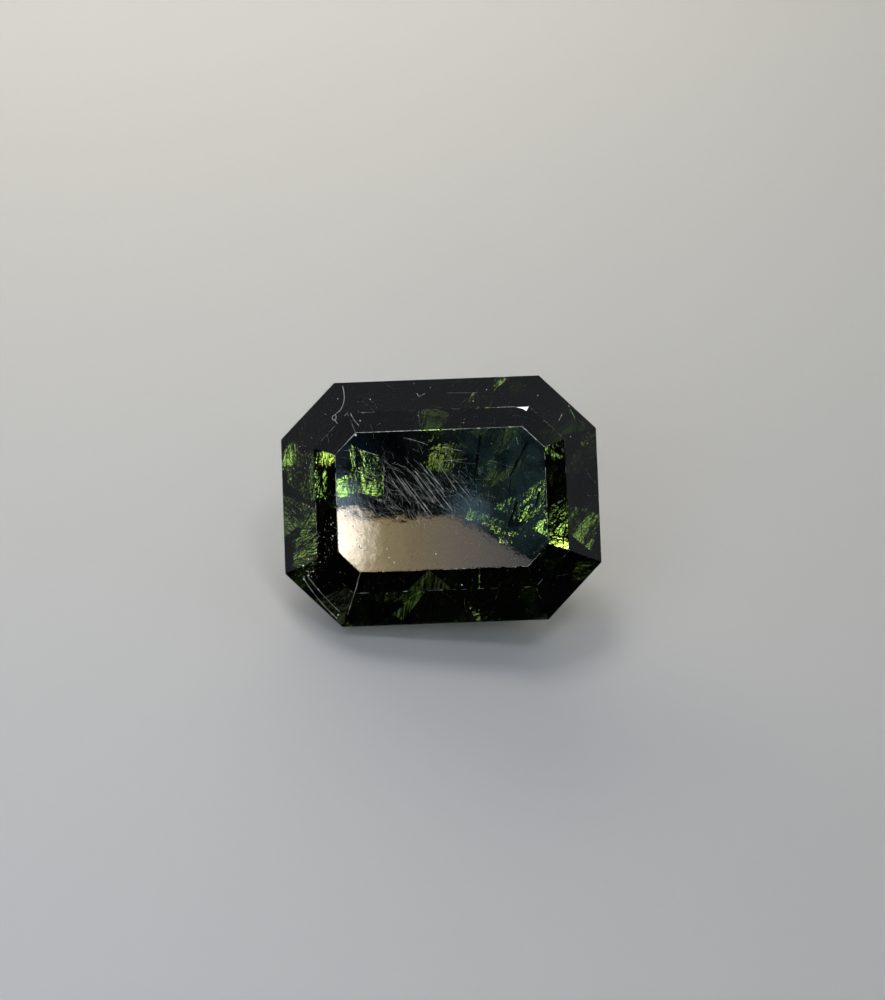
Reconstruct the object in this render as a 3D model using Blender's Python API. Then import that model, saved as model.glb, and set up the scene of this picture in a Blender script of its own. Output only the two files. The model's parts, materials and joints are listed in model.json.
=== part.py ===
"""A peridot gemstone in an octagonal step cut, lying tilted on one facet of its pavilion.

The stone is cut here the way a lapidary cuts it: a block of rough is taken, and one flat facet after
another is ground away from it. Each facet is a plane, given by the side of the stone that it faces, its
angle to the girdle, and one level that it runs through.

Until it is laid down, the stone stands in its cutter's frame: millimetres, the long side along X, the table
up +Z, and the upper rim of the girdle in the plane z = 0.
"""

import math

import bmesh
import bpy
from mathutils import Matrix, Vector

MM = 0.001

# Outline of the girdle
LENGTH = 9.0
WIDTH = 6.98
GIRDLE_CORNER = 1.57  # how much of each side the 45 degree corner takes
GIRDLE_THICKNESS = 0.23

# Crown
CROWN_HEIGHT = 1.23
TABLE_LENGTH = 5.87
TABLE_WIDTH = 3.92
TABLE_CORNER = 0.60
TABLE_SHIFT = Vector((0.024, -0.05))  # a hand-cut table is a little off centre
STEP_PART = 0.62  # how far in from girdle to table the step between the two rows lies
STEP_HEIGHT = 0.91

# Pavilion: facet angles to the girdle, in degrees, and the depths where the lower rows start
SIDE_ANGLE = 72.0
LEFT_END_ANGLE = 70.0
END_ANGLE = 43.5
CORNER_ANGLE = 42.0
BACK_STEP_ANGLE = 46.0
FRONT_KEEL_ANGLE = 38.5
BACK_KEEL_ANGLE = 41.0
LEFT_STEP_DEPTH = 1.08
BACK_STEP_DEPTH = 1.73
KEEL_DEPTH = 4.18

# The second facet of the front is cut out of line with the side, and the stone rests on it
REST_ANGLE = 44.3
REST_TURN = 11.7
REST_DISTANCE = 3.15  # from the middle of the stone

# Directions that the facets face
RIGHT, BACK, LEFT, FRONT = 0.0, 90.0, 180.0, 270.0
CORNERS = (45.0, 135.0, 225.0, 315.0)
SIDES = (RIGHT, BACK, LEFT, FRONT)

CROWN, PAVILION = 1.0, -1.0


def toward(direction):
    """The level unit vector that points in a direction, in degrees from +X."""
    return Vector((math.cos(math.radians(direction)), math.sin(math.radians(direction)), 0.0))


def reach(direction, length, width, corner, shift=Vector((0.0, 0.0))):
    """How far an eight-sided outline lies from the middle of the stone, in one of its eight directions."""
    half = Vector((length / 2, width / 2))
    ray = toward(direction)
    if direction in CORNERS:
        distance = (half.x + half.y - corner) / math.sqrt(2)
    else:
        distance = abs(ray.x) * half.x + abs(ray.y) * half.y
    return distance + ray.xy.dot(shift)


def girdle_reach(direction):
    return reach(direction, LENGTH, WIDTH, GIRDLE_CORNER)


def table_reach(direction):
    return reach(direction, TABLE_LENGTH, TABLE_WIDTH, TABLE_CORNER, TABLE_SHIFT)


def facet(direction, angle, distance, height, half):
    """A facet as a point on it and its outward normal. It lies at this distance out, at this height."""
    ray = toward(direction)
    slope = math.radians(angle)
    normal = ray * math.sin(slope) + Vector((0.0, 0.0, half * math.cos(slope)))
    return ray * distance + Vector((0.0, 0.0, height)), normal


def facet_between(direction, outer, outer_height, inner, inner_height):
    """A crown facet that rises from one level of the outline to the next."""
    angle = math.degrees(math.atan2(inner_height - outer_height, outer - inner))
    return facet(direction, angle, outer, outer_height, CROWN)


def girdle_facets():
    return [facet(direction, 90.0, girdle_reach(direction), 0.0, CROWN) for direction in SIDES + CORNERS]


def crown_facets():
    """Two rows of eight facets, and the table on top."""
    facets = []
    for direction in SIDES + CORNERS:
        rim = girdle_reach(direction)
        top = table_reach(direction)
        step = rim + (top - rim) * STEP_PART
        facets.append(facet_between(direction, rim, 0.0, step, STEP_HEIGHT))
        facets.append(facet_between(direction, step, STEP_HEIGHT, top, CROWN_HEIGHT))
    facets.append(facet(RIGHT, 0.0, 0.0, CROWN_HEIGHT, CROWN))
    return facets


def inward(rim, angle, depth):
    """How far out a pavilion facet still lies at a depth, when it starts at the girdle's lower rim."""
    return rim - (depth - GIRDLE_THICKNESS) / math.tan(math.radians(angle))


def pavilion_facets():
    """A steep first row, one wide facet on each corner, and lower rows that close on a short keel."""
    low = -GIRDLE_THICKNESS
    ends, sides = girdle_reach(RIGHT), girdle_reach(FRONT)
    left_step = inward(ends, LEFT_END_ANGLE, LEFT_STEP_DEPTH)
    back_step = inward(sides, SIDE_ANGLE, BACK_STEP_DEPTH)
    facets = [
        facet(FRONT, SIDE_ANGLE, sides, low, PAVILION),
        facet(BACK, SIDE_ANGLE, sides, low, PAVILION),
        facet(BACK, BACK_STEP_ANGLE, back_step, -BACK_STEP_DEPTH, PAVILION),
        facet(LEFT, LEFT_END_ANGLE, ends, low, PAVILION),
        facet(LEFT, END_ANGLE, left_step, -LEFT_STEP_DEPTH, PAVILION),
        facet(RIGHT, END_ANGLE, ends, low, PAVILION),
        facet(FRONT, FRONT_KEEL_ANGLE, 0.0, -KEEL_DEPTH, PAVILION),
        facet(BACK, BACK_KEEL_ANGLE, 0.0, -KEEL_DEPTH, PAVILION),
    ]
    for direction in CORNERS:
        facets.append(facet(direction, CORNER_ANGLE, girdle_reach(direction), low, PAVILION))
    return facets


def resting_facet():
    normal = facet(FRONT - REST_TURN, REST_ANGLE, 0.0, 0.0, PAVILION)[1]
    return normal * REST_DISTANCE, normal


def rough_block(bm):
    """The piece of rough, a little larger than the stone on every side."""
    bmesh.ops.create_cube(bm, size=1.0)
    bmesh.ops.scale(bm, vec=(LENGTH + 2, WIDTH + 2, 4 * KEEL_DEPTH), verts=bm.verts)


def cut(bm, point, normal):
    """Grinds off all that lies outside the facet's plane, and closes the stone with the new facet."""
    everything = bm.verts[:] + bm.edges[:] + bm.faces[:]
    ground = bmesh.ops.bisect_plane(bm, geom=everything, plane_co=point, plane_no=normal, clear_outer=True)
    rim = [item for item in ground["geom_cut"] if isinstance(item, bmesh.types.BMEdge)]
    if rim:
        bmesh.ops.contextual_create(bm, geom=rim)


def cut_stone():
    bm = bmesh.new()
    rough_block(bm)
    for point, normal in girdle_facets() + crown_facets() + pavilion_facets() + [resting_facet()]:
        cut(bm, point, normal)
    bmesh.ops.recalc_face_normals(bm, faces=bm.faces)
    bmesh.ops.scale(bm, vec=(MM, MM, MM), verts=bm.verts)
    mesh = bpy.data.meshes.new("peridot_gemstone")
    bm.to_mesh(mesh)
    bm.free()
    return mesh


def resting_pose(mesh):
    """Turns the resting facet to the ground, with the long side along X, and centres the stone over the origin."""
    up = -resting_facet()[1]
    along = Vector((1.0, 0.0, 0.0))
    along = (along - up * along.dot(up)).normalized()
    turn = Matrix((along, up.cross(along), up))
    corners = [turn @ vertex.co for vertex in mesh.vertices]
    lowest = Vector([min(corner[axis] for corner in corners) for axis in range(3)])
    highest = Vector([max(corner[axis] for corner in corners) for axis in range(3)])
    middle = (lowest + highest) / 2
    return Matrix.Translation((-middle.x, -middle.y, -lowest.z)) @ turn.to_4x4()


def peridot():
    """Clear dark olive green crystal, polished."""
    material = bpy.data.materials.new("peridot")
    material.use_nodes = True
    shader = material.node_tree.nodes["Principled BSDF"]
    shader.inputs["Base Color"].default_value = (0.10, 0.17, 0.04, 1.0)
    shader.inputs["Roughness"].default_value = 0.02
    shader.inputs["Metallic"].default_value = 0.0
    shader.inputs["IOR"].default_value = 1.67
    shader.inputs["Transmission Weight"].default_value = 1.0
    return material


def clear_scene():
    for thing in list(bpy.data.objects):
        bpy.data.objects.remove(thing, do_unlink=True)


def main():
    clear_scene()
    collection = bpy.data.collections.new("peridot_gemstone")
    bpy.context.scene.collection.children.link(collection)
    mesh = cut_stone()
    mesh.materials.append(peridot())
    stone = bpy.data.objects.new("peridot_gemstone", mesh)
    stone.matrix_world = resting_pose(mesh)
    collection.objects.link(stone)


main()
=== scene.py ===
# %% [markdown]
# A peridot, cut as an octagonal step cut and seen from close by, lying tilted on one facet of its
# pavilion. The solid gives the exact facets. This lesson gives it the look of the real stone: clear olive
# green crystal that is full of dark needles, a worn polish with scratches, and the dust that shows on
# anything nine millimetres long when it fills the picture.

# %% Load the stone
import json
import math
import random

import bmesh
import bpy
import numpy as np
from mathutils import Matrix, Vector


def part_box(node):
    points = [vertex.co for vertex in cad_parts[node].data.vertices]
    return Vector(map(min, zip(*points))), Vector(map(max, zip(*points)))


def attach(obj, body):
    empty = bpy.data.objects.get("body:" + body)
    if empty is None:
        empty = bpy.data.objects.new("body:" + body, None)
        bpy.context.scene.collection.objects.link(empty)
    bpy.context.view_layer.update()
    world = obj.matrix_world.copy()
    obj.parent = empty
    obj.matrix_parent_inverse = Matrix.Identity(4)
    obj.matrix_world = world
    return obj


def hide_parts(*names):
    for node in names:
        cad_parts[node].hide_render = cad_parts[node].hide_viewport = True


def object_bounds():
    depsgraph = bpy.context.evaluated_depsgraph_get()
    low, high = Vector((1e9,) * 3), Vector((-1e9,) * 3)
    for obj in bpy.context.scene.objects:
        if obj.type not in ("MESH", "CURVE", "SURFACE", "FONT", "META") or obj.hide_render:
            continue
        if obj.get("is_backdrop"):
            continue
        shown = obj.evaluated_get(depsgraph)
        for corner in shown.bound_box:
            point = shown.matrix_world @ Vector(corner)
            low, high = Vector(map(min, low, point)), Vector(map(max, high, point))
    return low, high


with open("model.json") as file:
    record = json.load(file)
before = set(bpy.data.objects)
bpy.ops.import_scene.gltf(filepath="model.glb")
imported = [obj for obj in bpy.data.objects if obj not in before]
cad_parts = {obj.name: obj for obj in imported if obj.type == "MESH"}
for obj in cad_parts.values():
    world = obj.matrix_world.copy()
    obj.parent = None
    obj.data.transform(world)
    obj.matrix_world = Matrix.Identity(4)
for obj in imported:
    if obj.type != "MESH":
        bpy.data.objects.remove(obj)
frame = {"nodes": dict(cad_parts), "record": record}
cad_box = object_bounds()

MM = 0.001
NODE = "peridot_gemstone"
low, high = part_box(NODE)
print("stone box in mm:", [round(side / MM, 2) for side in high - low])

# %% [markdown]
# Colours are written as the hex values that a paint program shows. Blender's nodes count light, so one
# function turns each value from the sRGB curve to linear light. Things that glow can be brighter than
# white, so the function also takes a strength.

# %% Colours from hex


def hex_colour(code, strength=1.0):
    """An sRGB hex value as linear red, green, blue and full alpha."""
    parts = [int(code[i:i + 2], 16) / 255 for i in (1, 3, 5)]
    linear = [p / 12.92 if p <= 0.04045 else ((p + 0.055) / 1.055) ** 2.4 for p in parts]
    return (*[strength * part for part in linear], 1.0)


print("mid grey in linear light:", [round(part, 3) for part in hex_colour("#808080")[:3]])

# %% [markdown]
# A material is a small tree of nodes. One function adds any node with its settings, its values and the
# links that feed it, so that each material below reads as a list of what it is made of.

# %% Add one node


def add_node(tree, kind, settings=None, inputs=None, links=None):
    """Adds a node, sets its properties and its sockets' values, and links what feeds its sockets."""
    node = tree.nodes.new(kind)
    for name, value in (settings or {}).items():
        setattr(node, name, value)
    for name, value in (inputs or {}).items():
        node.inputs[name].default_value = value
    for name, socket in (links or {}).items():
        tree.links.new(socket, node.inputs[name])
    return node


def new_material(name):
    material = bpy.data.materials.new(name)
    material.use_nodes = True
    material.node_tree.nodes.clear()
    return material


def set_ramp(ramp, steps):
    """Gives a colour ramp its steps: a position, a hex colour and, for paint that glows, a strength."""
    elements = ramp.color_ramp.elements
    while len(elements) < len(steps):
        elements.new(0.5)
    for element, (position, *colour) in zip(elements, steps):
        element.position = position
        element.color = hex_colour(*colour)


print("helpers made: add_node, new_material, set_ramp")

# %% [markdown]
# A cutter thinks of a stone with its table up: X along the long side, Z out of the table, the girdle's
# upper rim at zero. Every inclusion and scratch below is placed in that frame, in millimetres, and one
# matrix carries it to where the stone lies. The record gives the table's middle and direction, and that
# settles the matrix.

# %% The cutter's frame
TABLE_FROM_MIDDLE = Vector((0.024, -0.05, 1.23))  # the table's middle, a little off the stone's own

mounts = {mount["name"]: mount for mount in frame["record"]["mounts"]}
table_up = Vector(mounts["table_facet"]["axis"]).normalized()
table_middle = Vector(mounts["table_facet"]["pos_m"])
long_side = Vector((0, 1, 0)).cross(table_up).normalized()
stone_turn = Matrix((long_side, table_up.cross(long_side), table_up)).transposed()
stone_middle = table_middle - stone_turn @ TABLE_FROM_MIDDLE * MM
stone_place = Matrix.Translation(stone_middle) @ stone_turn.to_4x4() @ Matrix.Scale(MM, 4)
print("middle of the girdle in mm:", [round(part / MM, 2) for part in stone_middle])

# %% [markdown]
# A macro photograph has strong perspective, so the camera's distance matters as much as its direction.
# Both come from the outline of the girdle and the table in the photograph: at 65 mm the far side of the
# stone is seen a tenth smaller than the near one. The camera also leans a little to the side.

# %% Camera
CAMERA_AZIMUTH = -7.13
CAMERA_ELEVATION = 41.75
CAMERA_LEAN = 8.67
CAMERA_DISTANCE = 64.93 * MM
AIM_SHIFT = Vector((0.044, 0.013, 0.021)) * MM  # from the middle of the girdle to what the camera aims at
LENS = 82.04


def direction(azimuth, elevation):
    """The unit vector to a place in the sky. Azimuth 0 is the front, -Y, and 90 is the right, +X."""
    turn, rise = math.radians(azimuth), math.radians(elevation)
    return Vector((math.sin(turn) * math.cos(rise), -math.cos(turn) * math.cos(rise), math.sin(rise)))


camera_data = bpy.data.cameras.new("camera")
camera_data.lens = LENS
camera_data.sensor_width = 36.0
camera_data.clip_start = 5 * MM
camera_data.clip_end = 10.0
camera = bpy.data.objects.new("camera", camera_data)
to_camera = direction(CAMERA_AZIMUTH, CAMERA_ELEVATION)
camera_place = stone_middle + AIM_SHIFT + to_camera * CAMERA_DISTANCE
facing = to_camera.to_track_quat("Z", "Y").to_matrix().to_4x4()
lean = Matrix.Rotation(math.radians(CAMERA_LEAN), 4, "Z")
camera.matrix_world = Matrix.Translation(camera_place) @ facing @ lean
scene = bpy.context.scene
scene.collection.objects.link(camera)
scene.camera = camera
scene.view_settings.view_transform = "Standard"
print("camera at mm:", [round(part / MM, 1) for part in camera_place])

# %% [markdown]
# Light runs around inside a cut stone, from facet to facet, before it comes out. Each turn is one bounce
# of the ray, and Blender's usual limit would paint the deepest reflections black, so the limits are
# raised.

# %% Bounces
ALL_BOUNCES = 32
BOUNCES_IN_STONE = 24

scene.cycles.max_bounces = ALL_BOUNCES
scene.cycles.glossy_bounces = BOUNCES_IN_STONE
scene.cycles.transmission_bounces = BOUNCES_IN_STONE
print("bounces:", scene.cycles.max_bounces)

# %% [markdown]
# The room decides how a dark transparent stone looks. The crown mirrors what lies behind the stone, a dim
# grey wall, and the pavilion throws back what lies in front of it, so that side is nearly black. One
# gradient from front to back paints both.

# %% Room
WALL_DARK = "#0d0e10"
WALL_GREY = "#70747a"
WALL_STARTS = -0.25  # -1 is straight in front of the stone and 1 is straight behind it
WALL_IS_FULL = 0.05
SOFT_STEP = {"interpolation_type": "SMOOTHSTEP"}

world = bpy.data.worlds.new("room")
scene.world = world
world.use_nodes = True
room = world.node_tree
room.nodes.clear()
view = add_node(room, "ShaderNodeTexCoord")
axes = add_node(room, "ShaderNodeSeparateXYZ", links={"Vector": view.outputs["Generated"]})
behind = add_node(room, "ShaderNodeMapRange", SOFT_STEP,
                  {"From Min": WALL_STARTS, "From Max": WALL_IS_FULL}, {"Value": axes.outputs["Y"]})
wall = add_node(room, "ShaderNodeMix", {"data_type": "RGBA"}, links={"Factor": behind.outputs["Result"]})
wall.inputs["A"].default_value = hex_colour(WALL_DARK)
wall.inputs["B"].default_value = hex_colour(WALL_GREY)
light = add_node(room, "ShaderNodeBackground", links={"Color": wall.outputs["Result"]})
add_node(room, "ShaderNodeOutputWorld", links={"Surface": light.outputs[0]})
print("room:", WALL_DARK, "in front,", WALL_GREY, "behind")

# %% [markdown]
# In a stone with these angles a look through any facet ends, two or three turns later, in one small part
# of the sky. So each green flash belongs to one lamp. Bigger lamps would be simpler, and would light the
# whole stone evenly green. The long list stands where the flashes of the real stone point to, and each
# lamp is only as wide as its flash. Four lamps do the rest: the large soft box stands close, behind to
# the left, which makes the board brighter at the back than in front, and three soft ones light the board
# and the dust and are not seen in the green. No lamp shows in a sharp reflection, because the polished
# crown shows none.

# %% Lamps
SKY_DISTANCE = 300
WHITE = "#ffffff"
WARM = "#fff0cc"
WARM_WHITE = "#fff0d8"


def soft_light(name, azimuth, elevation, distance, size, radiance, colour, through=True):
    """A soft box that faces the stone, distance and size in millimetres. through: seen in the green."""
    away = direction(azimuth, elevation)
    data = bpy.data.lights.new(name, "AREA")
    data.shape = "RECTANGLE"
    data.size = size[0] * MM
    data.size_y = size[1] * MM
    data.energy = radiance * math.pi * data.size * data.size_y
    data.color = hex_colour(colour)[:3]
    lamp = bpy.data.objects.new(name, data)
    lamp.location = stone_middle + away * distance * MM
    lamp.rotation_euler = away.to_track_quat("Z", "Y").to_euler()
    lamp.visible_camera = False
    lamp.visible_glossy = False
    lamp.visible_transmission = through
    scene.collection.objects.link(lamp)


soft_light("key_softbox", -153, 63, 75, (22, 22), 14.0, "#fff9f0")
soft_light("back_wash", -162, 27, 62, (70, 20), 6.5, "#fff4d8", through=False)
soft_light("front_fill", -42, 36, 48, (26, 26), 3.4, "#d8e4ff", through=False)
soft_light("ceiling", 0, 90, 800, (2400, 2400), 0.14, "#f4f7ff", through=False)
for name, azimuth, elevation, size, radiance, colour in (
        ("left_back", -90, 51.7, (42, 60), 5.0, WHITE),
        ("left_high", -101, 66, (40, 40), 2.0, WHITE),
        ("left_middle", -66, 43, (26, 26), 0.35, WHITE),
        ("left_low", -57, 17.3, (36, 28), 4.0, WHITE),
        ("right_top", 59, 77, (60, 60), 13.0, WHITE),
        ("right_high", 24.7, 60.5, (10, 8), 1.8, WHITE),
        ("right_middle", 41, 46.1, (32, 22), 11.0, WHITE),
        ("right_patch", 33.5, 42, (24, 20), 0.6, WHITE),
        ("right_low", 66, 22, (24, 20), 2.0, WHITE),
        ("right_side", 80, 22.5, (24, 20), 0.7, WHITE),
        ("right_back", 130, 52, (36, 36), 9.0, WHITE),
        ("front_low", -14, 14.2, (30, 20), 34.0, WARM),
        ("front_spot", -22, 39.4, (12, 10), 22.0, "#fff0c8"),
        ("front_middle", 3, 51, (26, 26), 6.0, WHITE),
        ("front_left", -38, 45, (26, 26), 0.35, WHITE),
        ("front_high", -1, 57, (20, 20), 0.5, WHITE),
        ("front_step", -14.1, 18.6, (8, 7), 17.0, WARM),
        ("front_end", 8.2, 32.7, (10, 8), 3.0, WHITE),
        ("front_patch", 12.2, 40.5, (14, 8), 0.4, WHITE),
        ("top_middle", 18.2, 41, (8, 8), 0.3, WHITE),
        ("top_right", 27.6, 65, (10, 8), 0.4, WARM_WHITE),
        ("olive_patch", 15.7, 60, (6, 10), 1.5, WARM_WHITE),
        ("left_corner", -43.3, 78.4, (12, 12), 3.4, WHITE),
        ("right_corner", -24.7, 63.7, (7, 4), 4.0, WHITE),
        ("yellow_flash", -9.45, 65.2, (6, 7), 34.0, "#fff2d8"),
        ("low_patch", 75.7, 40.3, (14, 10), 0.8, WHITE),
        ("low_edge", 61.3, 30.2, (10, 8), 0.35, WHITE)):
    soft_light(name, azimuth, elevation, SKY_DISTANCE, size, radiance, colour)

# %% [markdown]
# The stone lies on a plain pale board. One flat square is all that a board needs, and it is so wide that
# its end lies far outside the picture.

# %% Floor
FLOOR_SIDE = 4.0

bpy.ops.mesh.primitive_plane_add(size=FLOOR_SIDE, location=(0, 0, 0))
floor = bpy.context.object
floor.name = "floor"
floor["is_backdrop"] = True
board = new_material("matt_board")  # pale grey cardboard
shader = add_node(board.node_tree, "ShaderNodeBsdfPrincipled", inputs={
    "Base Color": hex_colour("#a8aaac"), "Roughness": 0.6})
add_node(board.node_tree, "ShaderNodeOutputMaterial", links={"Surface": shader.outputs[0]})
floor.data.materials.append(board)
floor.visible_glossy = False
print("floor side in m:", FLOOR_SIDE)

# %% [markdown]
# Two looks through the stone, straight out of its back, would show the grey wall and fill the lower crown
# with a flat grey green. A small black flag hangs in each of them, as one would in a studio.

# %% Black flags
FLAG_DISTANCE = 60.0
FLAG_SIDE = 24.0

velvet = new_material("black_velvet")  # cloth that throws back hardly any light
matt = add_node(velvet.node_tree, "ShaderNodeBsdfPrincipled", inputs={
    "Base Color": hex_colour("#0a0a0a"), "Roughness": 0.9})
add_node(velvet.node_tree, "ShaderNodeOutputMaterial", links={"Surface": matt.outputs[0]})
for name, azimuth, elevation in (("flag_behind", 172, 53), ("flag_left", -110, 38)):
    away = direction(azimuth, elevation)
    bpy.ops.mesh.primitive_plane_add(size=FLAG_SIDE * MM, location=stone_middle + away * FLAG_DISTANCE * MM)
    flag = bpy.context.object
    flag.name = name
    flag.rotation_euler = away.to_track_quat("Z", "Y").to_euler()
    flag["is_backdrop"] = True
    flag.data.materials.append(velvet)
    flag.visible_camera = False
    flag.visible_diffuse = False
    flag.visible_glossy = False
    flag.visible_shadow = False
print("flag side in mm:", FLAG_SIDE)

# %% [markdown]
# The table is a mirror as well as a window, and it mirrors one small part of the room. There the
# photographed stone shows a pale tan surface with a white end, under something dark. A card stands for
# them. Each corner of its grid is found by following a ray from the camera to the table and on, so what
# is painted at a place on the card shows at that place on the table. Only sharp reflections see the card:
# it lights nothing.

# %% Where the table mirrors the room
CARD_DISTANCE = 120.0
CARD_STEPS = 12
CARD_SIZE = Vector((6.6, 4.6))  # of the table that it covers


def mirrored_point(x, y, distance):
    """The point, this far off, that the camera sees mirrored at a place on the table."""
    place = stone_place @ Vector((x, y, TABLE_FROM_MIDDLE.z))
    ray = (place - camera_place).normalized()
    out = ray - 2 * ray.dot(table_up) * table_up
    return place + out * distance * MM


card_mesh = bpy.data.meshes.new("mirrored_card")
bm = bmesh.new()
bm.loops.layers.uv.new("across_the_table")
bmesh.ops.create_grid(bm, x_segments=CARD_STEPS, y_segments=CARD_STEPS, size=0.5, calc_uvs=True)
for vertex in bm.verts:
    vertex.co = mirrored_point(vertex.co.x * CARD_SIZE.x, vertex.co.y * CARD_SIZE.y, CARD_DISTANCE)
bm.to_mesh(card_mesh)
bm.free()
card = bpy.data.objects.new("mirrored_card", card_mesh)
scene.collection.objects.link(card)
card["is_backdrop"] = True
card.visible_camera = False
card.visible_diffuse = False
card.visible_transmission = False
card.visible_shadow = False
print("card corners:", len(card_mesh.vertices))

# %% [markdown]
# The card's paint glows by itself, in millimetres across the table, and is the reflection painted
# there. A picture could be laid on the card, but ramps and soft spots say plainly what is where. Dark
# teal lies above, nearly black where the scratches cross. Two soft spots add a painted blue haze of
# light at two places, and noise makes all of it uneven, as the reflection in a hand polished facet is.

# %% Upper part of the card's paint
RAMP_REACH = 3.0  # the ramps run from this far left of the table's middle to this far right
UPPER_PART = ((0.00, "#7891a8"), (0.12, "#3a4e60"), (0.28, "#1c242c"),
              (0.48, "#38484e"), (0.66, "#4a6c72"), (1.00, "#6c929a"))
CLOUDS_PER_MM = 1.6
DIM_CLOUD = 0.3
BRIGHT_CLOUD = 1.4
HAZE_RADIUS = 0.95
HAZE_CORE = 0.1

glow = new_material("lit_wall")  # a wall and a table top seen in the mirror of the facet
tree = glow.node_tree
uv = add_node(tree, "ShaderNodeTexCoord")
place = add_node(tree, "ShaderNodeVectorMath", {"operation": "MULTIPLY_ADD"}, {
    1: (CARD_SIZE.x, CARD_SIZE.y, 0.0), 2: (-CARD_SIZE.x / 2, -CARD_SIZE.y / 2, 0.0)}, {0: uv.outputs["UV"]})
axes = add_node(tree, "ShaderNodeSeparateXYZ", links={"Vector": place.outputs[0]})
along = add_node(tree, "ShaderNodeMapRange", inputs={"From Min": -RAMP_REACH, "From Max": RAMP_REACH},
                 links={"Value": axes.outputs["X"]})
cloud = add_node(tree, "ShaderNodeTexNoise", inputs={"Scale": CLOUDS_PER_MM, "Detail": 5.0},
                 links={"Vector": place.outputs[0]})


def spot(x, y, outer, inner):
    """A soft round mask on the card: 1 inside the inner radius and 0 outside the outer one."""
    away = add_node(tree, "ShaderNodeVectorMath", {"operation": "DISTANCE"}, {1: (x, y, 0.0)},
                    {0: place.outputs[0]})
    mask = add_node(tree, "ShaderNodeMapRange", SOFT_STEP,
                    {"From Min": outer, "From Max": inner}, {"Value": away.outputs["Value"]})
    return mask.outputs["Result"]


def laid_over(under, mask, colour, blend="MIX"):
    """Lays a colour, or the colours of a socket, over what is painted so far."""
    layer = add_node(tree, "ShaderNodeMix", {"data_type": "RGBA", "blend_type": blend},
                     links={"Factor": mask})
    tree.links.new(under, layer.inputs["A"])
    if isinstance(colour, tuple):
        layer.inputs["B"].default_value = colour
    else:
        tree.links.new(colour, layer.inputs["B"])
    return layer.outputs["Result"]


upper = add_node(tree, "ShaderNodeValToRGB", links={"Fac": along.outputs["Result"]})
set_ramp(upper, UPPER_PART)
uneven = add_node(tree, "ShaderNodeMapRange", inputs={
    "From Min": 0.35, "From Max": 0.65, "To Min": DIM_CLOUD, "To Max": BRIGHT_CLOUD},
                  links={"Value": cloud.outputs[0]})
mottled = add_node(tree, "ShaderNodeVectorMath", {"operation": "SCALE"},
                   links={0: upper.outputs["Color"], "Scale": uneven.outputs["Result"]})
painted = mottled.outputs[0]
# two soft spots of painted blue haze of light in the table's reflection
for x, y, colour, strength in ((0.80, -0.46, "#8fb0c4", 1.7), (-2.85, 0.0, "#b4d0e6", 3.0)):
    haze = spot(x, y, HAZE_RADIUS, HAZE_CORE)
    painted = laid_over(painted, haze, hex_colour(colour, strength), "ADD")
print("steps in the upper ramp:", len(UPPER_PART))

# %% [markdown]
# The tan part is laid over that. It starts in the middle of the table, its upper edge slopes down to the
# right, and it gets darker and greyer from left to right. At its left end the mirrored surface is so
# bright that it comes out cream. An edge that follows a slope is the height plus a ramp across, put
# through one soft step.

# %% Tan part and cream end
TAN_PART = ((0.10, "#ffe9b8", 5.6), (0.24, "#ffe7b2", 3.3), (0.38, "#ffe6ba", 2.5),
            (0.55, "#ffeed6", 1.95), (0.80, "#f2ecea", 1.35), (0.95, "#d0d0d4", 1.2))
TAN_STARTS = -0.40
TAN_IS_FULL = -0.68
TAN_SLOPES_FROM = 0.4
TAN_SLOPES_TO = 3.4
TAN_DROP = 1.85
CREAM_STARTS = -0.10
CREAM_IS_FULL = -0.38
CREAM_SPOT = (-3.35, -1.00, 1.75, 0.35)  # its place, outer and inner radius
CREAM_STRENGTH = 22.0

slope = add_node(tree, "ShaderNodeMapRange", inputs={
    "From Min": TAN_SLOPES_FROM, "From Max": TAN_SLOPES_TO, "To Min": 0.0, "To Max": TAN_DROP},
                 links={"Value": axes.outputs["X"]})
edge = add_node(tree, "ShaderNodeMath", {"operation": "ADD"},
                links={0: axes.outputs["Y"], 1: slope.outputs["Result"]})
tan_part = add_node(tree, "ShaderNodeMapRange", SOFT_STEP,
                    {"From Min": TAN_STARTS, "From Max": TAN_IS_FULL}, {"Value": edge.outputs[0]})
tan = add_node(tree, "ShaderNodeValToRGB", links={"Fac": along.outputs["Result"]})
set_ramp(tan, TAN_PART)
painted = laid_over(painted, tan_part.outputs["Result"], tan.outputs["Color"])
below = add_node(tree, "ShaderNodeMapRange", SOFT_STEP,
                 {"From Min": CREAM_STARTS, "From Max": CREAM_IS_FULL}, {"Value": axes.outputs["Y"]})
cream = add_node(tree, "ShaderNodeMath", {"operation": "MULTIPLY"},
                 links={0: below.outputs["Result"], 1: spot(*CREAM_SPOT)})
painted = laid_over(painted, cream.outputs[0], hex_colour("#fff4e0", CREAM_STRENGTH))
emission = add_node(tree, "ShaderNodeEmission", links={"Color": painted})
add_node(tree, "ShaderNodeOutputMaterial", links={"Surface": emission.outputs[0]})
glow.cycles.emission_sampling = "NONE"
card_mesh.materials.append(glow)
print("nodes in the card's paint:", len(tree.nodes))

# %% [markdown]
# Peridot is clear all through, and its colour comes from iron that takes away some of the light on every
# millimetre of the way. A green surface would be simpler, but would tint a short way through the stone as
# much as a long one. So the surface is white plain glass with peridot's refraction, and the volume does
# the colouring: it takes most of the blue, much of the red and least of the green. Hand polish is never
# quite flat. A bump of one thousandth of a millimetre bends the reflections as the real facets do.

# %% Crystal
PERIDOT_REFRACTION = 1.67
LOST = (0.193, 0.145, 0.29)  # exponent of the red, green and blue light lost in each millimetre
DENSITY = 0.5
RIPPLE_WIDTH = 0.45
RIPPLE_HEIGHT = 0.0010

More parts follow.
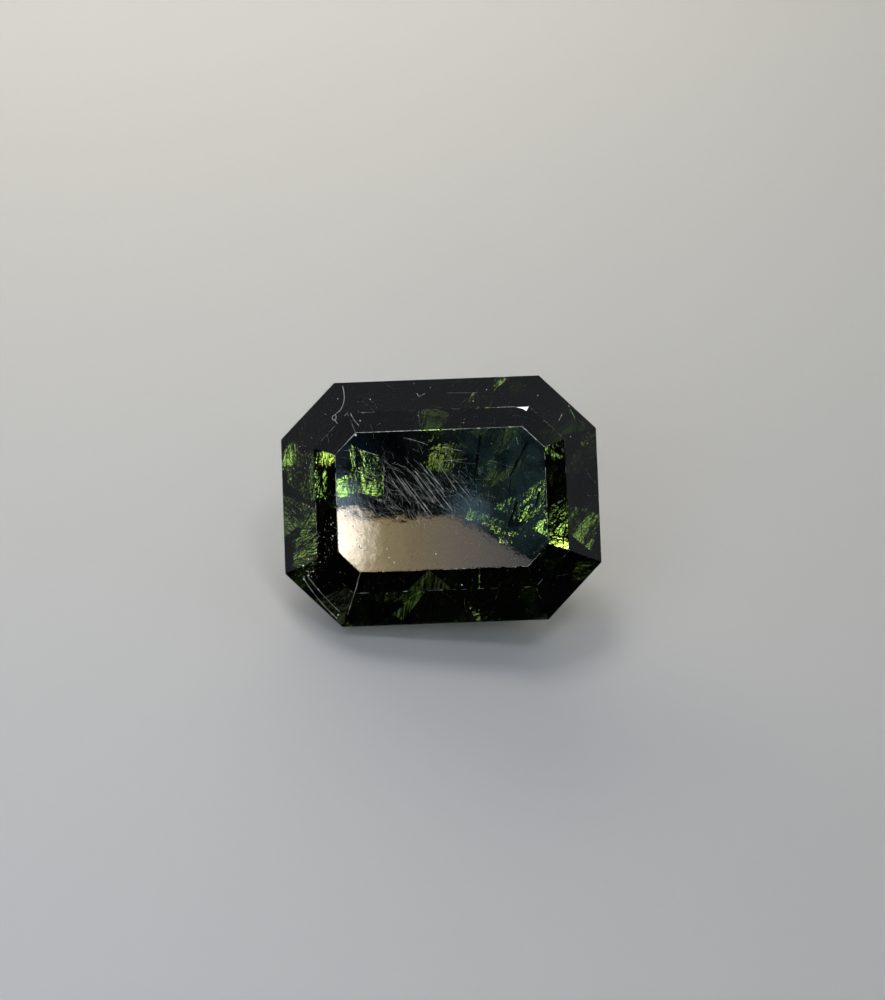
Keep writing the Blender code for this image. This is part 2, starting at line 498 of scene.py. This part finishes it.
crystal = new_material("peridot_polished")  # olive green gem crystal with a hand polish
tree = crystal.node_tree
place = add_node(tree, "ShaderNodeTexCoord")
ripple = add_node(tree, "ShaderNodeTexNoise", inputs={"Scale": 1 / (RIPPLE_WIDTH * MM), "Detail": 3.0},
                  links={"Vector": place.outputs["Object"]})
uneven = add_node(tree, "ShaderNodeBump", inputs={"Strength": 1.0, "Distance": RIPPLE_HEIGHT * MM},
                  links={"Height": ripple.outputs[0]})
glass = add_node(tree, "ShaderNodeBsdfPrincipled", inputs={
    "Base Color": (1, 1, 1, 1), "Roughness": 0.0, "IOR": PERIDOT_REFRACTION, "Transmission Weight": 1.0},
    links={"Normal": uneven.outputs[0]})
inside = add_node(tree, "ShaderNodeVolumeAbsorption", inputs={
    "Color": (*[1 - part / DENSITY for part in LOST], 1.0), "Density": DENSITY / MM})
add_node(tree, "ShaderNodeOutputMaterial", links={"Surface": glass.outputs[0], "Volume": inside.outputs[0]})
print("green light left after 5 mm:", round(math.exp(-LOST[1] * 5), 2))

# %% [markdown]
# The solid has perfectly sharp edges. The crown and girdle of a worn stone are rubbed to a strip about a
# hundredth of a millimetre wide, which catches light, while its pavilion, safe in the setting, stays
# sharp. A bevel of one step makes that strip. The solid's mesh is made of triangles, so the flat facets
# are joined again first, and the planes and edges are kept for placing everything that follows.

# %% Facets and worn edges
EDGE_WEAR = 0.012
PAVILION_TOP = -0.3
SAME_POINT = 0.0005
SAME_PLANE = 0.2  # degrees

mesh = frame["nodes"][NODE].data.copy()
mesh.name = "crystal"
bm = bmesh.new()
bm.from_mesh(mesh)
bmesh.ops.remove_doubles(bm, verts=bm.verts, dist=SAME_POINT * MM)
bmesh.ops.dissolve_limit(bm, angle_limit=math.radians(SAME_PLANE), verts=bm.verts, edges=bm.edges)
to_stone = stone_place.inverted()
facets = []
for face in bm.faces:
    normal = (stone_turn.transposed() @ face.normal).normalized()
    facets.append((to_stone @ face.verts[0].co, normal))
edges = [tuple(to_stone @ vertex.co for vertex in edge.verts) for edge in bm.edges]
print("facets", len(facets), "edges", len(edges))
rubbed = [edge for edge, ends in zip(bm.edges, edges) if min(ends[0].z, ends[1].z) > PAVILION_TOP]
bmesh.ops.bevel(bm, geom=rubbed, offset=EDGE_WEAR * MM, segments=1, affect="EDGES", profile=0.5)
bm.to_mesh(mesh)
bm.free()
mesh.materials.clear()
mesh.materials.append(crystal)
stone = bpy.data.objects.new("crystal", mesh)
scene.collection.objects.link(stone)
for face in mesh.polygons:
    face.use_smooth = False
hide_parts(NODE)
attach(stone, "root")

# %% [markdown]
# Two questions come back for every small thing. How deep does a point lie in the stone? And where does
# the crown's surface lie above a place in its outline? The facets' planes answer both: a cut stone is
# what is left under all of its planes.

# %% Inside the stone and on its crown


def depth(point):
    """How deep a point lies under the nearest facet, in millimetres. Outside the stone it is below zero."""
    return min((corner - point).dot(normal) for corner, normal in facets)


def crown_at(x, y):
    """The point of the crown above a place in the outline, with its facet's normal."""
    heights = [(corner.z + ((corner.x - x) * normal.x + (corner.y - y) * normal.y) / normal.z, normal)
               for corner, normal in facets if normal.z > 0.1]
    height, normal = min(heights, key=lambda pair: pair[0])
    return Vector((x, y, height)), normal


def over_crown(x, y, height):
    """The point this far over the crown, or under it where the height is below zero."""
    point, normal = crown_at(x, y)
    return point + normal * height


def straight(x, y, heading, length, pieces=6, bend=0.0):
    """Points along a line that starts at x, y and runs in a heading, in degrees from the long side."""
    points = [(x, y)]
    for step in range(pieces):
        turn = math.radians(heading + bend * step)
        x += math.cos(turn) * length / pieces
        y += math.sin(turn) * length / pieces
        points.append((x, y))
    return points


print("the middle of the stone lies", round(depth(Vector((0, 0, 0))), 2), "mm deep")

# %% [markdown]
# Needles, scratches and specks come in hundreds and thousands. Each kind has one small shape, and a list
# of matrices says where its copies go and how they are stretched. They could be separate objects, but all
# copies of a kind joined in one mesh keep the scene light.

# %% Many small copies in one mesh


def rod_shape(sides, tip):
    """A straight prism of length 1 and radius 1 along Z, narrowing to a tip."""
    bm = bmesh.new()
    bmesh.ops.create_cone(bm, cap_ends=True, segments=sides, radius1=1.0, radius2=tip, depth=1.0)
    return bm


def joined_copies(name, shape, places, material):
    """One piece made of a copy of the shape at every place, all given in the cutter's frame."""
    shape.verts.index_update()
    corners = np.array([vertex.co[:] + (1.0,) for vertex in shape.verts])
    faces = [[vertex.index for vertex in face.verts] for face in shape.faces]
    shape.free()
    points, polygons = [], []
    for number, place in enumerate(places):
        points.append(corners @ np.array(place).T)
        polygons.extend([index + number * len(corners) for index in face] for face in faces)
    mesh = bpy.data.meshes.new(name)
    mesh.from_pydata(np.concatenate(points)[:, :3], [], polygons)
    mesh.transform(stone_place)
    mesh.materials.append(material)
    piece = bpy.data.objects.new(name, mesh)
    scene.collection.objects.link(piece)
    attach(piece, "root")
    print(name, len(places), "copies,", sum(len(face) - 2 for face in polygons), "triangles")


def rod_place(start, end, radius, flatness=1.0):
    """The matrix that lays a rod of length 1 from start to end. A flat one has its wide side up."""
    axis = end - start
    turn = axis.to_track_quat("Z", "Y").to_matrix().to_4x4()
    size = Matrix.Diagonal((radius, radius * flatness, axis.length, 1.0))
    return Matrix.Translation((start + end) / 2) @ turn @ size


print("helpers made: rod_shape, joined_copies, rod_place")

# %% [markdown]
# The needles are another mineral, ludwigite, that grew with the peridot and along its lattice, so most
# lean the same way. They stand in loose bundles, from hair thin to a few hundredths of a millimetre, and
# every one of them is seen again in each mirror of the pavilion. Their colour runs from black to dark
# brown. The crystal around them bends light nearly as much as they do, so their shader gets the ratio of
# the two refractions and they hardly shine.

# %% Needle mineral
LUDWIGITE_REFRACTION = 1.83
NEEDLE_PATCHES = 0.6  # width of the lighter and darker stretches

mineral = new_material("ludwigite_needle")  # black iron borate; inside peridot it hardly shines
tree = mineral.node_tree
place = add_node(tree, "ShaderNodeTexCoord")
patches = add_node(tree, "ShaderNodeTexNoise", inputs={"Scale": 1 / (NEEDLE_PATCHES * MM)},
                   links={"Vector": place.outputs["Object"]})
tint = add_node(tree, "ShaderNodeValToRGB", links={"Fac": patches.outputs[0]})
set_ramp(tint, [(0.4, "#040403"), (0.7, "#15140a")])
dark = add_node(tree, "ShaderNodeBsdfPrincipled", inputs={
    "Roughness": 0.35, "IOR": LUDWIGITE_REFRACTION / PERIDOT_REFRACTION},
                links={"Base Color": tint.outputs["Color"]})
add_node(tree, "ShaderNodeOutputMaterial", links={"Surface": dark.outputs[0]})
print("needle to crystal refraction:", round(LUDWIGITE_REFRACTION / PERIDOT_REFRACTION, 2))

# %% Needles all through the stone
NEEDLES = 2000
NEEDLES_IN_BUNDLE = (5, 22)
BUNDLE_SPREAD = (0.05, 0.28)
NEEDLE_STEEPNESS = 52  # degrees up from the stone's width towards its table
STEEPNESS_VARIES = 16  # from bundle to bundle, and by less within one
STEEPNESS_IN_BUNDLE = 5
NEEDLE_LEAN = 0.36  # towards the long side
LEAN_VARIES = 0.08
LEAN_IN_BUNDLE = 0.03
HALF_LENGTH = (0.3, 1.4)
NEEDLE_RADIUS = 0.0065
WIDEST_NEEDLE = 0.022
BUNDLE_DEPTH = 0.15
NEEDLE_MARGIN = 0.05
SMALLEST_PART = 0.05  # of a needle that the facets leave
chance = random.Random(5)


def inside_part(start, end):
    """The part of a line that stays under every facet, or nothing."""
    near, far = 0.0, 1.0
    for corner, normal in facets:
        first = (corner - start).dot(normal) - NEEDLE_MARGIN
        last = (corner - end).dot(normal) - NEEDLE_MARGIN
        if first < 0 and last < 0:
            return None
        if first < 0:
            near = max(near, first / (first - last))
        if last < 0:
            far = min(far, first / (first - last))
    if far - near < SMALLEST_PART:
        return None
    return start.lerp(end, near), start.lerp(end, far)


def bundle_places():
    """Bundles of nearly parallel needles, each bundle at a random place in the stone."""
    places = []
    while len(places) < NEEDLES:
        heart = Vector((chance.uniform(-4.2, 4.2), chance.uniform(-3.2, 3.2), chance.uniform(-4.0, 1.1)))
        if depth(heart) < BUNDLE_DEPTH:
            continue
        steep = math.radians(chance.gauss(NEEDLE_STEEPNESS, STEEPNESS_VARIES))
        lean = chance.gauss(NEEDLE_LEAN, LEAN_VARIES)
        spread = chance.uniform(*BUNDLE_SPREAD)
        for needle in range(chance.randint(*NEEDLES_IN_BUNDLE)):
            angle = steep + math.radians(chance.gauss(0, STEEPNESS_IN_BUNDLE))
            sideways = math.sin(angle) * lean + chance.gauss(0, LEAN_IN_BUNDLE)
            way = Vector((sideways, math.cos(angle), math.sin(angle)))
            centre = heart + Vector([chance.gauss(0, spread) for axis in range(3)])
            reach = way.normalized() * chance.uniform(*HALF_LENGTH)
            part = inside_part(centre - reach, centre + reach)
            if part:
                radius = min(WIDEST_NEEDLE, chance.lognormvariate(math.log(NEEDLE_RADIUS), 0.5))
                places.append(rod_place(*part, radius))
    return places


needle_places = bundle_places()
print("bundled needles:", len(needle_places))

# %% [markdown]
# Some needles lie so close under the crown that they can be pointed at: two long dark ones under the
# right of the table, a thicket around them, short level ones at the left end, and leaning ones under the
# right end. Parts of the long ones reach the surface. There the cutter polished them flat with the facet,
# and they are black in its mirror too.

# %% Needles just under the crown
FLAT_NEEDLE = 0.1  # thickness to width of a needle that was polished away down to the surface


def shallow_place(x, y, heading, length, deep, radius):
    """A needle that follows the crown at a small depth."""
    ends = [over_crown(*place, -deep) for place in straight(x, y, heading, length, pieces=1)]
    return rod_place(*ends, radius)


for x, y, heading, length, deep, radius in (
        (1.17, 1.63, -103, 1.26, 0.20, 0.040), (2.52, 1.55, -107, 2.95, 0.30, 0.045),
        (0.88, 0.38, -100, 0.75, 0.25, 0.018), (2.10, 1.70, -104, 1.30, 0.35, 0.018),
        (-2.86, 0.98, -20, 1.25, 0.10, 0.015), (-2.86, 0.66, -12, 1.30, 0.12, 0.017),
        (-2.75, 0.42, -7, 1.15, 0.10, 0.013), (-2.88, 0.22, -3, 1.30, 0.15, 0.015),
        (1.95, 0.60, -98, 1.60, 0.25, 0.016), (-0.05, 1.35, -20, 0.70, 0.20, 0.016)):
    needle_places.append(shallow_place(x, y, heading, length, deep, radius))
for x, y, heading, length, radius in (
        (1.18, 1.70, -100, 0.55, 0.030), (1.09, 1.18, -100, 0.75, 0.042), (2.49, 1.48, -119, 0.64, 0.034),
        (2.19, 0.96, -117, 0.48, 0.042), (2.12, -0.19, -111, 0.73, 0.038), (2.27, -0.46, -116, 0.28, 0.030),
        (2.77, 0.08, -107, 0.44, 0.030), (1.98, 0.46, -98, 0.50, 0.020)):
    ends = [crown_at(*place)[0] for place in straight(x, y, heading, length, pieces=1)]
    needle_places.append(rod_place(*ends, radius, FLAT_NEEDLE))
for left, right, front, back, heading, spread, longest, number in (
        (1.1, 2.8, -0.9, 0.9, -105, 9, 1.1, 55), (1.2, 2.8, -1.1, 0.5, -40, 14, 0.5, 35),
        (-2.8, -1.7, 0.1, 1.1, -12, 8, 0.9, 24), (3.1, 3.5, -1.5, 0.3, -60, 20, 0.35, 12),
        (3.75, 4.2, -1.6, -0.3, -118, 12, 0.5, 30), (-4.3, -3.7, 0.1, 1.5, -38, 14, 0.5, 40),
        (-4.2, -3.1, -1.2, -0.4, -8, 10, 0.5, 25), (-2.95, -2.6, 1.7, 2.4, 60, 12, 0.3, 40),
        (0.2, 2.2, -3.3, -2.3, 70, 16, 0.5, 40), (0.5, 1.15, -3.2, -2.6, 75, 10, 0.4, 70),
        (-0.5, 0.6, 2.2, 2.5, -12, 10, 0.4, 60), (1.5, 2.3, -1.85, -1.1, -105, 14, 0.5, 50),
        (1.5, 2.3, -1.85, -1.1, -30, 14, 0.4, 30), (-1.6, -0.3, -3.0, -2.2, 55, 12, 0.6, 40),
        (-2.4, 1.6, 0.9, 1.8, -18, 12, 0.7, 25)):
    for needle in range(number):
        x, y = chance.uniform(left, right), chance.uniform(front, back)
        turned = chance.gauss(heading, spread)
        length = chance.uniform(0.3, 1.0) * longest
        deep = chance.uniform(0.08, 0.4)
        radius = chance.lognormvariate(math.log(NEEDLE_RADIUS), 0.4)
        needle_places.append(shallow_place(x, y, turned, length, deep, radius))
joined_copies("needles", rod_shape(4, 0.4), needle_places, mineral)

# %% [markdown]
# A scratch in a polished stone shows as a pale line, because its broken floor scatters light. Here it is
# a row of hair thin rods of crushed peridot, half sunk in the surface. The wide bundle across the table
# comes first, then the marks that can be named one by one, and last the fine ones that wear leaves
# everywhere.

# %% Powder in the scratches
POWDER_PATCHES = 0.15

powder = new_material("crushed_peridot_and_glints")  # broken crystal at the bottom of a scratch, and pale marks that paint the edges' glints
tree = powder.node_tree
place = add_node(tree, "ShaderNodeTexCoord")
patches = add_node(tree, "ShaderNodeTexNoise", inputs={"Scale": 1 / (POWDER_PATCHES * MM)},
                   links={"Vector": place.outputs["Object"]})
tint = add_node(tree, "ShaderNodeValToRGB", links={"Fac": patches.outputs[0]})
set_ramp(tint, [(0.35, "#7f8c86"), (0.65, "#eef0ea")])
pale = add_node(tree, "ShaderNodeBsdfPrincipled", inputs={"Roughness": 0.5, "IOR": PERIDOT_REFRACTION},
                links={"Base Color": tint.outputs["Color"]})
add_node(tree, "ShaderNodeOutputMaterial", links={"Surface": pale.outputs[0]})
print("powder patches in mm:", POWDER_PATCHES)

# %% Scratches that can be named
BUNDLE_SCRATCHES = 11
BUNDLE_START = (-1.42, 0.62)
BUNDLE_STEP = (0.105, 0.02)
BUNDLE_HEADING = -56
BUNDLE_LENGTH = (0.7, 1.35)
BUNDLE_WIDTH = (0.003, 0.007)
chance = random.Random(11)


def scratch_places(points, width):
    """Short rods along a line of points on the crown, half sunk in the surface."""
    on_crown = [crown_at(x, y)[0] for x, y in points]
    return [rod_place(start, end, width * chance.uniform(0.5, 1.0))
            for start, end in zip(on_crown, on_crown[1:])]


scratches_and_edge_glints = []
for number in range(BUNDLE_SCRATCHES):
    x = BUNDLE_START[0] + number * BUNDLE_STEP[0] + chance.gauss(0, 0.02)
    y = BUNDLE_START[1] + chance.gauss(0, 0.12) + number * BUNDLE_STEP[1]
    heading = BUNDLE_HEADING + chance.gauss(0, 2)
    line = straight(x, y, heading, chance.uniform(*BUNDLE_LENGTH))
    scratches_and_edge_glints += scratch_places(line, chance.uniform(*BUNDLE_WIDTH))
for x, y, heading, length, bend, width in (
        (-0.44, 0.80, -45, 0.62, 0, 0.008), (-0.97, 1.72, -14, 0.70, -2, 0.005),
        (-2.13, 1.40, -20, 0.45, 0, 0.005), (-2.40, -1.02, -80, 0.62, 11, 0.011),
        (-2.48, -0.30, -34, 0.62, 0, 0.009), (-2.55, -0.62, -48, 0.50, 0, 0.008),
        (-0.20, 1.30, -62, 1.30, 1, 0.004), (0.32, 0.60, -52, 0.90, 0, 0.004),
        (0.10, 1.42, -14, 0.55, 0, 0.004), (0.05, 1.02, 3, 0.75, 0, 0.004),
        (-3.97, -2.06, -60, 1.50, 3, 0.009), (-3.86, -2.00, -55, 1.40, 2, 0.006),
        (-2.75, -3.15, 68, 0.95, 0, 0.007), (-0.57, 3.05, -62, 0.12, 0, 0.009),
        (-0.52, 2.95, 26, 0.20, 0, 0.009), (0.30, 3.03, -2, 0.85, 0, 0.003),
        (-2.45, 2.50, -68, 0.45, 4, 0.006), (3.42, 2.10, 62, 0.24, 0, 0.008),
        # the line from 1.52, 2.512 along the step is a painted glint, the tail of the glint at the back
        (2.18, 1.62, -78, 0.22, 0, 0.008), (1.52, 2.512, 0, 0.68, 0, 0.004),
        (-2.30, 0.85, -34, 0.50, 0, 0.004)):
    scratches_and_edge_glints += scratch_places(straight(x, y, heading, length, bend=bend), width)
print("rods in named scratches:", len(scratches_and_edge_glints))

# %% Fine scratches of wear
TABLE_SCRATCHES = 420
TABLE_SCRATCH_WIDTH = (0.0006, 0.0019)
CROWN_SCRATCHES = 80
CROWN_SCRATCH_WIDTH = (0.0005, 0.0014)

for number in range(TABLE_SCRATCHES):
    x, y = chance.gauss(-1.1, 1.3), chance.gauss(0.3, 0.7)
    if -2.85 < x < 2.6 and -0.36 < y < 1.8:  # on the table, above the tan part
        heading = chance.gauss(-50, 24)
        length = chance.uniform(0.12, 0.7)
        line = straight(x, y, heading, length, pieces=4, bend=chance.gauss(0, 4))
        scratches_and_edge_glints += scratch_places(line, chance.uniform(*TABLE_SCRATCH_WIDTH))
for number in range(CROWN_SCRATCHES):
    x, y = chance.uniform(-4.3, 4.3), chance.uniform(-3.3, 3.3)
    if abs(x) + abs(y) < 6.2:  # clear of the cut corners
        heading = chance.uniform(0, 360)
        length = chance.uniform(0.1, 0.5)
        line = straight(x, y, heading, length, pieces=3, bend=chance.gauss(0, 6))
        scratches_and_edge_glints += scratch_places(line, chance.uniform(*CROWN_SCRATCH_WIDTH))
print("rods in all scratches:", len(scratches_and_edge_glints))

# %% [markdown]
# Edges are where a stone is touched. Each edge of the crown gets stretches of the same pale powder, partly
# bruises and partly painted glints: dense around the table, fewer on the step below it and hardly any on
# the girdle. The table's upper edge and its left end have the most, as painted glints where they shine.

# %% Bruised edges and painted edge glints
RIM_LEVEL = -0.02
STEP_LEVEL = 0.8
TABLE_LEVEL = 1.2
EDGE_MARK_LENGTH = (0.03, 0.25)
PAST_GIRDLE = 0.001


def glint_and_wear_at(middle):
    """How much of an edge with this middle gets pale marks, bruises and painted glints, and how wide they
    are.
    """
    if middle.z > TABLE_LEVEL and (middle.x < -2 or middle.y > 1.5):
        return 0.9, 0.008
    if middle.z > TABLE_LEVEL:
        return 0.7, 0.005
    if middle.z > STEP_LEVEL:
        return 0.35, 0.003
    return 0.12, 0.003


def edge_places():
    """Short pale rods along the crown's edges: bruises, and painted glints where the edges catch light."""
    places = []
    for start, end in edges:
        if min(start.z, end.z) < RIM_LEVEL:
            continue
        marked_share, width = glint_and_wear_at((start + end) / 2)
        length = (end - start).length
        at = 0.0
        while at < length:
            stretch = chance.uniform(*EDGE_MARK_LENGTH)
            if chance.random() < marked_share:
                last = min(1.0, (at + stretch) / length)
                places.append(rod_place(start.lerp(end, at / length), start.lerp(end, last),
                                        width * chance.uniform(0.3, 1.0)))
            at += stretch
    return places


def on_stone(place):
    """Whether both ends of a rod lie on the stone and not past its girdle."""
    return all(depth(place @ Vector((0, 0, side))) > -PAST_GIRDLE for side in (-0.5, 0.5))


# pale marks along the edges, partly bruises and partly painted glints, join the scratches
scratches_and_edge_glints += edge_places()
scratches_and_edge_glints = [place for place in scratches_and_edge_glints if on_stone(place)]
joined_copies("scratches_and_edge_glints", rod_shape(4, 1.0), scratches_and_edge_glints, powder)

# %% [markdown]
# One small white patch sits on the crown's step at the back, right of the middle, under half a millimetre
# long. It is a painted glint, where a lamp shines off the step: one white face, laid just over the crown,
# that glows a little.

# %% Painted glint at the back
GLINT_LIFT = 0.004
GLINT_CORNERS = ((2.215, 2.495), (2.570, 2.495), (2.500, 2.370), (2.390, 2.445))

painted_glint_face = new_material("painted_glint_face")  # white, and glowing a little: a painted glint
bright = add_node(painted_glint_face.node_tree, "ShaderNodeBsdfPrincipled", inputs={
    "Base Color": hex_colour("#ffffff"), "Roughness": 0.4, "IOR": PERIDOT_REFRACTION,
    "Emission Color": hex_colour("#ffffff"), "Emission Strength": 0.35})
add_node(painted_glint_face.node_tree, "ShaderNodeOutputMaterial", links={"Surface": bright.outputs[0]})

bm = bmesh.new()
bm.faces.new([bm.verts.new(over_crown(x, y, GLINT_LIFT)) for x, y in GLINT_CORNERS])
joined_copies("painted_glint", bm, [Matrix.Identity(4)], painted_glint_face)

# %% [markdown]
# House dust is skin and lint ground to specks. The largest that the photograph shows are placed one by
# one, smaller ones gather in the corners where the cloth doesn't reach, and the finest lie everywhere. A
# speck is a few hundredths of a millimetre wide, so a flattened ball with uneven corners is enough.

# %% House dust
DUST_PATCHES = 0.08

fluff = new_material("house_dust")  # pale warm grey dust
tree = fluff.node_tree
place = add_node(tree, "ShaderNodeTexCoord")
patches = add_node(tree, "ShaderNodeTexNoise", inputs={"Scale": 1 / (DUST_PATCHES * MM)},
                   links={"Vector": place.outputs["Object"]})
tint = add_node(tree, "ShaderNodeValToRGB", links={"Fac": patches.outputs[0]})
set_ramp(tint, [(0.3, "#b9b4a6"), (0.6, "#fbfaf5")])
soft = add_node(tree, "ShaderNodeBsdfPrincipled", inputs={"Roughness": 0.9, "IOR": 1.5},
                links={"Base Color": tint.outputs["Color"]})
add_node(tree, "ShaderNodeOutputMaterial", links={"Surface": soft.outputs[0]})
print("dust patches in mm:", DUST_PATCHES)

# %% Large specks
SPECK_FLATNESS = 0.6
chance = random.Random(23)


def speck_place(x, y, radius):
    """The matrix of a speck that lies on the crown."""
    point, normal = crown_at(x, y)
    turn = normal.to_track_quat("Z", "Y").to_matrix().to_4x4()
    spin = Matrix.Rotation(chance.uniform(0, 2 * math.pi), 4, "Z")
    size = Matrix.Diagonal((radius * chance.uniform(0.8, 1.4), radius, radius * SPECK_FLATNESS, 1.0))
    return Matrix.Translation(point + normal * radius * SPECK_FLATNESS * 0.5) @ turn @ spin @ size


def grain_shape():
    """A ball with uneven corners."""
    bm = bmesh.new()
    bmesh.ops.create_icosphere(bm, subdivisions=1, radius=1.0)
    for vertex in bm.verts:
        vertex.co *= chance.uniform(0.75, 1.25)
    return bm


dust_specks_and_glint = []
for x, y, radius in ((-3.09, -0.63, 0.020), (-3.05, -0.95, 0.026), (-3.78, -1.55, 0.020),
                     (-3.94, -1.72, 0.026), (-3.66, -1.90, 0.022), (-3.81, -2.00, 0.024),
                     (-3.02, -3.14, 0.032), (-3.44, -1.66, 0.018), (-3.96, -2.10, 0.020),
                     (-2.55, 0.13, 0.020), (-1.70, 0.00, 0.018), (-2.76, -0.14, 0.020),
                     (-1.60, 0.54, 0.014), (-1.24, -0.55, 0.014), (-1.55, -1.38, 0.022),
                     (-1.50, -1.62, 0.022), (-1.36, -1.76, 0.018), (-0.19, -1.57, 0.024),
                     (1.87, -1.12, 0.020), (1.64, -0.93, 0.014), (-1.89, 2.91, 0.014),
                     (1.02, 2.73, 0.020), (-0.18, 3.22, 0.014), (0.45, 1.88, 0.016),
                     (-2.82, 2.98, 0.014), (0.72, 2.09, 0.014), (-2.18, 2.26, 0.014),
                     # the speck at -2.31, 1.84, the largest, is a painted glint at the table's back left
                     # corner
                     (-2.31, 1.84, 0.034), (0.50, -2.45, 0.024), (0.72, -3.10, 0.016),
                     (2.86, 2.85, 0.016), (-3.55, -2.40, 0.016)):
    dust_specks_and_glint.append(speck_place(x, y, radius))
print("large specks:", len(dust_specks_and_glint))

# %% Small and finest specks
SPECK_RADIUS = 0.0055
LARGEST_SMALL = 0.015
FINEST_SPECKS = 460
FINEST_RADIUS = 0.0032
LARGEST_FINEST = 0.012
HIGHEST_SPECK = 0.011  # how far the middle of the largest speck stands over its facet

for x, y, spread, number in ((-3.25, -0.9, 0.30, 80), (-3.8, -1.85, 0.22, 70), (-3.2, -2.6, 0.4, 20),
                             (-2.7, 0.2, 0.2, 50), (-3.9, 1.4, 0.4, 40), (0.9, -0.5, 0.5, 40)):
    for speck in range(number):
        radius = min(LARGEST_SMALL, chance.lognormvariate(math.log(SPECK_RADIUS), 0.45))
        dust_specks_and_glint.append(speck_place(x + chance.gauss(0, spread), y + chance.gauss(0, spread), radius))
for speck in range(FINEST_SPECKS):
    x, y = chance.uniform(-4.4, 4.4), chance.uniform(-3.4, 3.4)
    on_tan = -3.0 < x < 1.8 and -2.0 < y < -0.4
    if abs(x) + abs(y) < 6.3 and not on_tan:
        radius = min(LARGEST_FINEST, chance.lognormvariate(math.log(FINEST_RADIUS), 0.5))
        dust_specks_and_glint.append(speck_place(x, y, radius))
dust_specks_and_glint = [place for place in dust_specks_and_glint if depth(place.translation) > -HIGHEST_SPECK]
joined_copies("dust", grain_shape(), dust_specks_and_glint, fluff)

# %% [markdown]
# One lint fibre lies over the back left corner of the crown, with a small loop at its end. It is a thread
# of cotton about 0.02 mm thick. A curve would float over the facets or sink in them between its points. A
# row of short rods follows them, as the thread does that sticks to them.

# %% Lint fibre
FIBRE_RADIUS = 0.009
FIBRE_LINES = (
    ((-2.68, 3.36), (-2.645, 3.20), (-2.63, 3.02), (-2.64, 2.86), (-2.68, 2.72), (-2.74, 2.61),
     (-2.86, 2.53)),
    ((-2.88, 2.50), (-2.96, 2.46), (-2.98, 2.38), (-2.93, 2.33), (-2.87, 2.36), (-2.86, 2.43),
     (-2.88, 2.50)),
    ((-2.90, 2.33), (-2.86, 2.27), (-2.83, 2.22)))

cotton = new_material("cotton_lint")  # undyed cotton
thread = add_node(cotton.node_tree, "ShaderNodeBsdfPrincipled", inputs={
    "Base Color": hex_colour("#a5a39b"), "Roughness": 0.8})
add_node(cotton.node_tree, "ShaderNodeOutputMaterial", links={"Surface": thread.outputs[0]})

fibre = []
for line in FIBRE_LINES:
    lying = [over_crown(x, y, FIBRE_RADIUS) for x, y in line]
    fibre += [rod_place(start, end, FIBRE_RADIUS) for start, end in zip(lying, lying[1:])]
joined_copies("lint", rod_shape(6, 1.0), fibre, cotton)

# %% [markdown]
# The last step prints the box of the solid and of what is seen.

# %% Sizes and finish
size_boxes = [[list(corner) for corner in box] for box in (cad_box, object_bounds())]
for name, (near, far) in zip(("solid", "looks"), size_boxes):
    print(name, "in mm:", [round((end - start) / MM, 3) for start, end in zip(near, far)])
